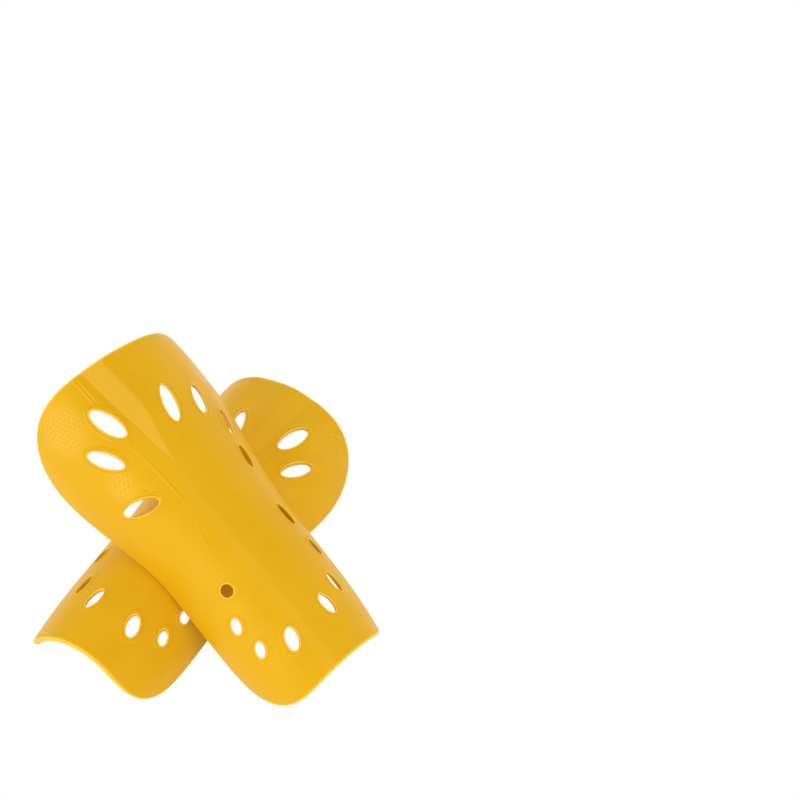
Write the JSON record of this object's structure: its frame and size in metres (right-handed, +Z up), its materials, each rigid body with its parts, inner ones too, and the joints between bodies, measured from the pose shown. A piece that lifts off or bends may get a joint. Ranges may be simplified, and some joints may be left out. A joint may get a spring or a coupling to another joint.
{
  "type": "shin guard",
  "caption": "Left and right slip-in shin guards laid crossed: one-piece curved moulded shells with ringed oval vents that sit inside football socks.",
  "frame": {"origin": "under the middle of the crossed pair, on the surface that it lies on", "axes": "+Z up; -Y towards the viewer, with both ankle ends on that side; +X to the viewer's right"},
  "size_m": [0.1802, 0.2074, 0.1249],
  "materials": {
    "guard_shell": "semi-gloss moulded polypropylene, warm yellow, with fine honeycomb and ridge texture"
  },
  "bodies": {
    "left": {"left_guard": "guard_shell"},
    "right": {"right_guard": "guard_shell"}
  },
  "joints": [
    {"name": "right_lift", "type": "slide", "parent": "left", "child": "right", "axis": [0, 0, 1], "range_m": [0, 0.15]}
  ]
}
